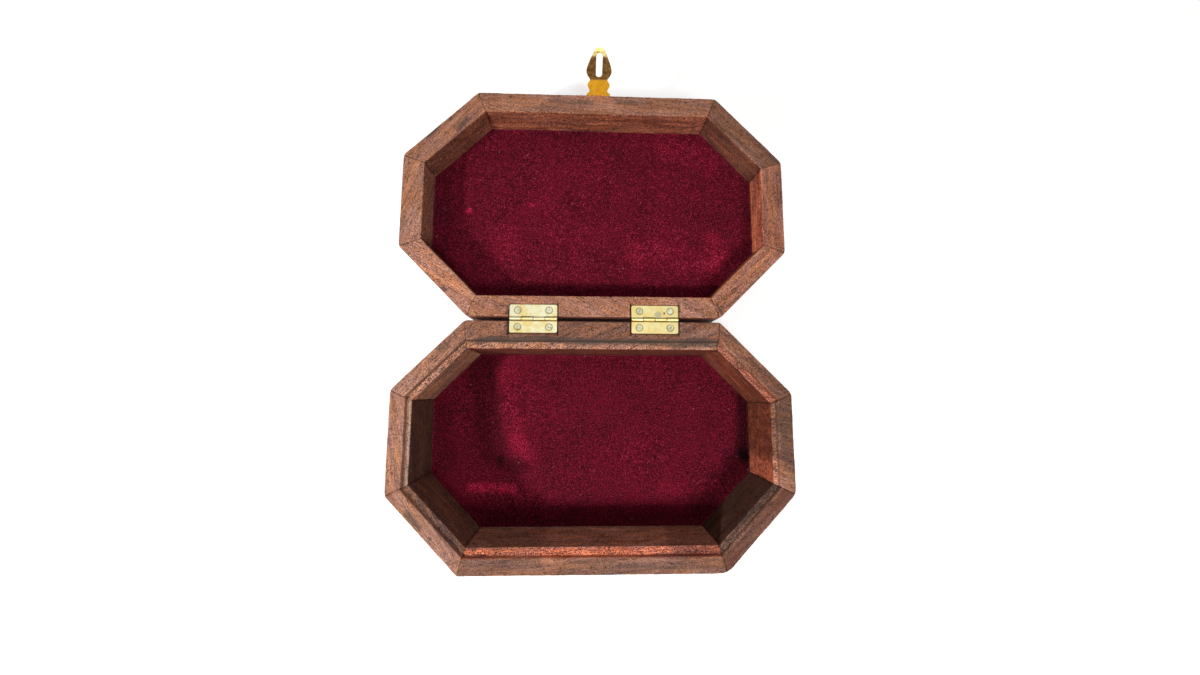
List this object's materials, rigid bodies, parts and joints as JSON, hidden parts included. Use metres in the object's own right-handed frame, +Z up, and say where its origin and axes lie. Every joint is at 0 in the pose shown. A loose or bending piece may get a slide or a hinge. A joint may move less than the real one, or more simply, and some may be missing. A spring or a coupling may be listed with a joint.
{
  "type": "inlaid wooden box",
  "caption": "Long octagonal hinged wooden box, open, with velvet-lined base and lid, brass butt hinges, a slotted brass hasp over a staple, and brass inlay in the lid.",
  "frame": {"origin": "middle of the base's underside", "axes": "+X along the hinges, to the right of someone facing the box's front; +Y from the base to the opened lid; +Z up"},
  "size_m": [0.2032, 0.2671, 0.0594],
  "materials": {
    "rim_wood": "reddish-brown open-grained hardwood, dull waxed",
    "board_wood": "reddish-brown hardwood board, satin waxed",
    "hinge_brass": "pale bright brass sheet, lightly rubbed",
    "hasp_brass": "golden stamped brass sheet, polished",
    "screw_metal": "pale plated slotted screws",
    "inlay_brass": "brass sheet let in flush and sanded level",
    "velvet": "crimson velvet with short nap"
  },
  "bodies": {
    "base": {"base_wall_front": "rim_wood", "base_wall_front_right": "rim_wood", "base_wall_right": "rim_wood", "base_wall_back_right": "rim_wood", "base_wall_back": "rim_wood", "base_wall_back_left": "rim_wood", "base_wall_left": "rim_wood", "base_wall_front_left": "rim_wood", "base_floor_board": "board_wood", "base_velvet": "velvet", "hinge_left_base_leaf": "hinge_brass", "hinge_right_base_leaf": "hinge_brass", "hinge_left_pin": "hinge_brass", "hinge_right_pin": "hinge_brass", "screw_left_base_1": "screw_metal", "screw_left_base_2": "screw_metal", "screw_right_base_1": "screw_metal", "screw_right_base_2": "screw_metal", "keeper_staple": "hasp_brass"},
    "lid": {"lid_wall_back": "rim_wood", "lid_wall_back_right": "rim_wood", "lid_wall_right": "rim_wood", "lid_wall_front_right": "rim_wood", "lid_wall_front": "rim_wood", "lid_wall_front_left": "rim_wood", "lid_wall_left": "rim_wood", "lid_wall_back_left": "rim_wood", "lid_top_board": "board_wood", "lid_velvet": "velvet", "inlay_border_1": "inlay_brass", "inlay_border_2": "inlay_brass", "inlay_border_3": "inlay_brass", "inlay_border_4": "inlay_brass", "inlay_border_5": "inlay_brass", "inlay_border_6": "inlay_brass", "inlay_border_7": "inlay_brass", "inlay_border_8": "inlay_brass", "inlay_petal_1": "inlay_brass", "inlay_petal_2": "inlay_brass", "inlay_petal_3": "inlay_brass", "inlay_petal_4": "inlay_brass", "inlay_petal_5": "inlay_brass", "inlay_petal_6": "inlay_brass", "inlay_petal_7": "inlay_brass", "inlay_petal_8": "inlay_brass", "inlay_centre_disc": "inlay_brass", "hinge_left_lid_leaf": "hinge_brass", "hinge_right_lid_leaf": "hinge_brass", "screw_left_lid_1": "screw_metal", "screw_left_lid_2": "screw_metal", "screw_right_lid_1": "screw_metal", "screw_right_lid_2": "screw_metal", "hasp_plate": "hasp_brass", "hasp_pin": "hasp_brass", "hasp_nail_1": "hasp_brass", "hasp_nail_2": "hasp_brass", "hasp_nail_3": "hasp_brass"},
    "hasp": {"hasp_flap": "hasp_brass"}
  },
  "joints": [
    {"name": "lid_hinge", "type": "hinge", "parent": "base", "child": "lid", "pos_m": [0, 0.0631, 0.04015], "axis": [1, 0, 0], "range_deg": [0, 180]},
    {"name": "hasp_hinge", "type": "hinge", "parent": "lid", "child": "hasp", "pos_m": [0.0016, 0.1883, 0.037], "axis": [1, 0, 0], "range_deg": [-130, 20]}
  ]
}
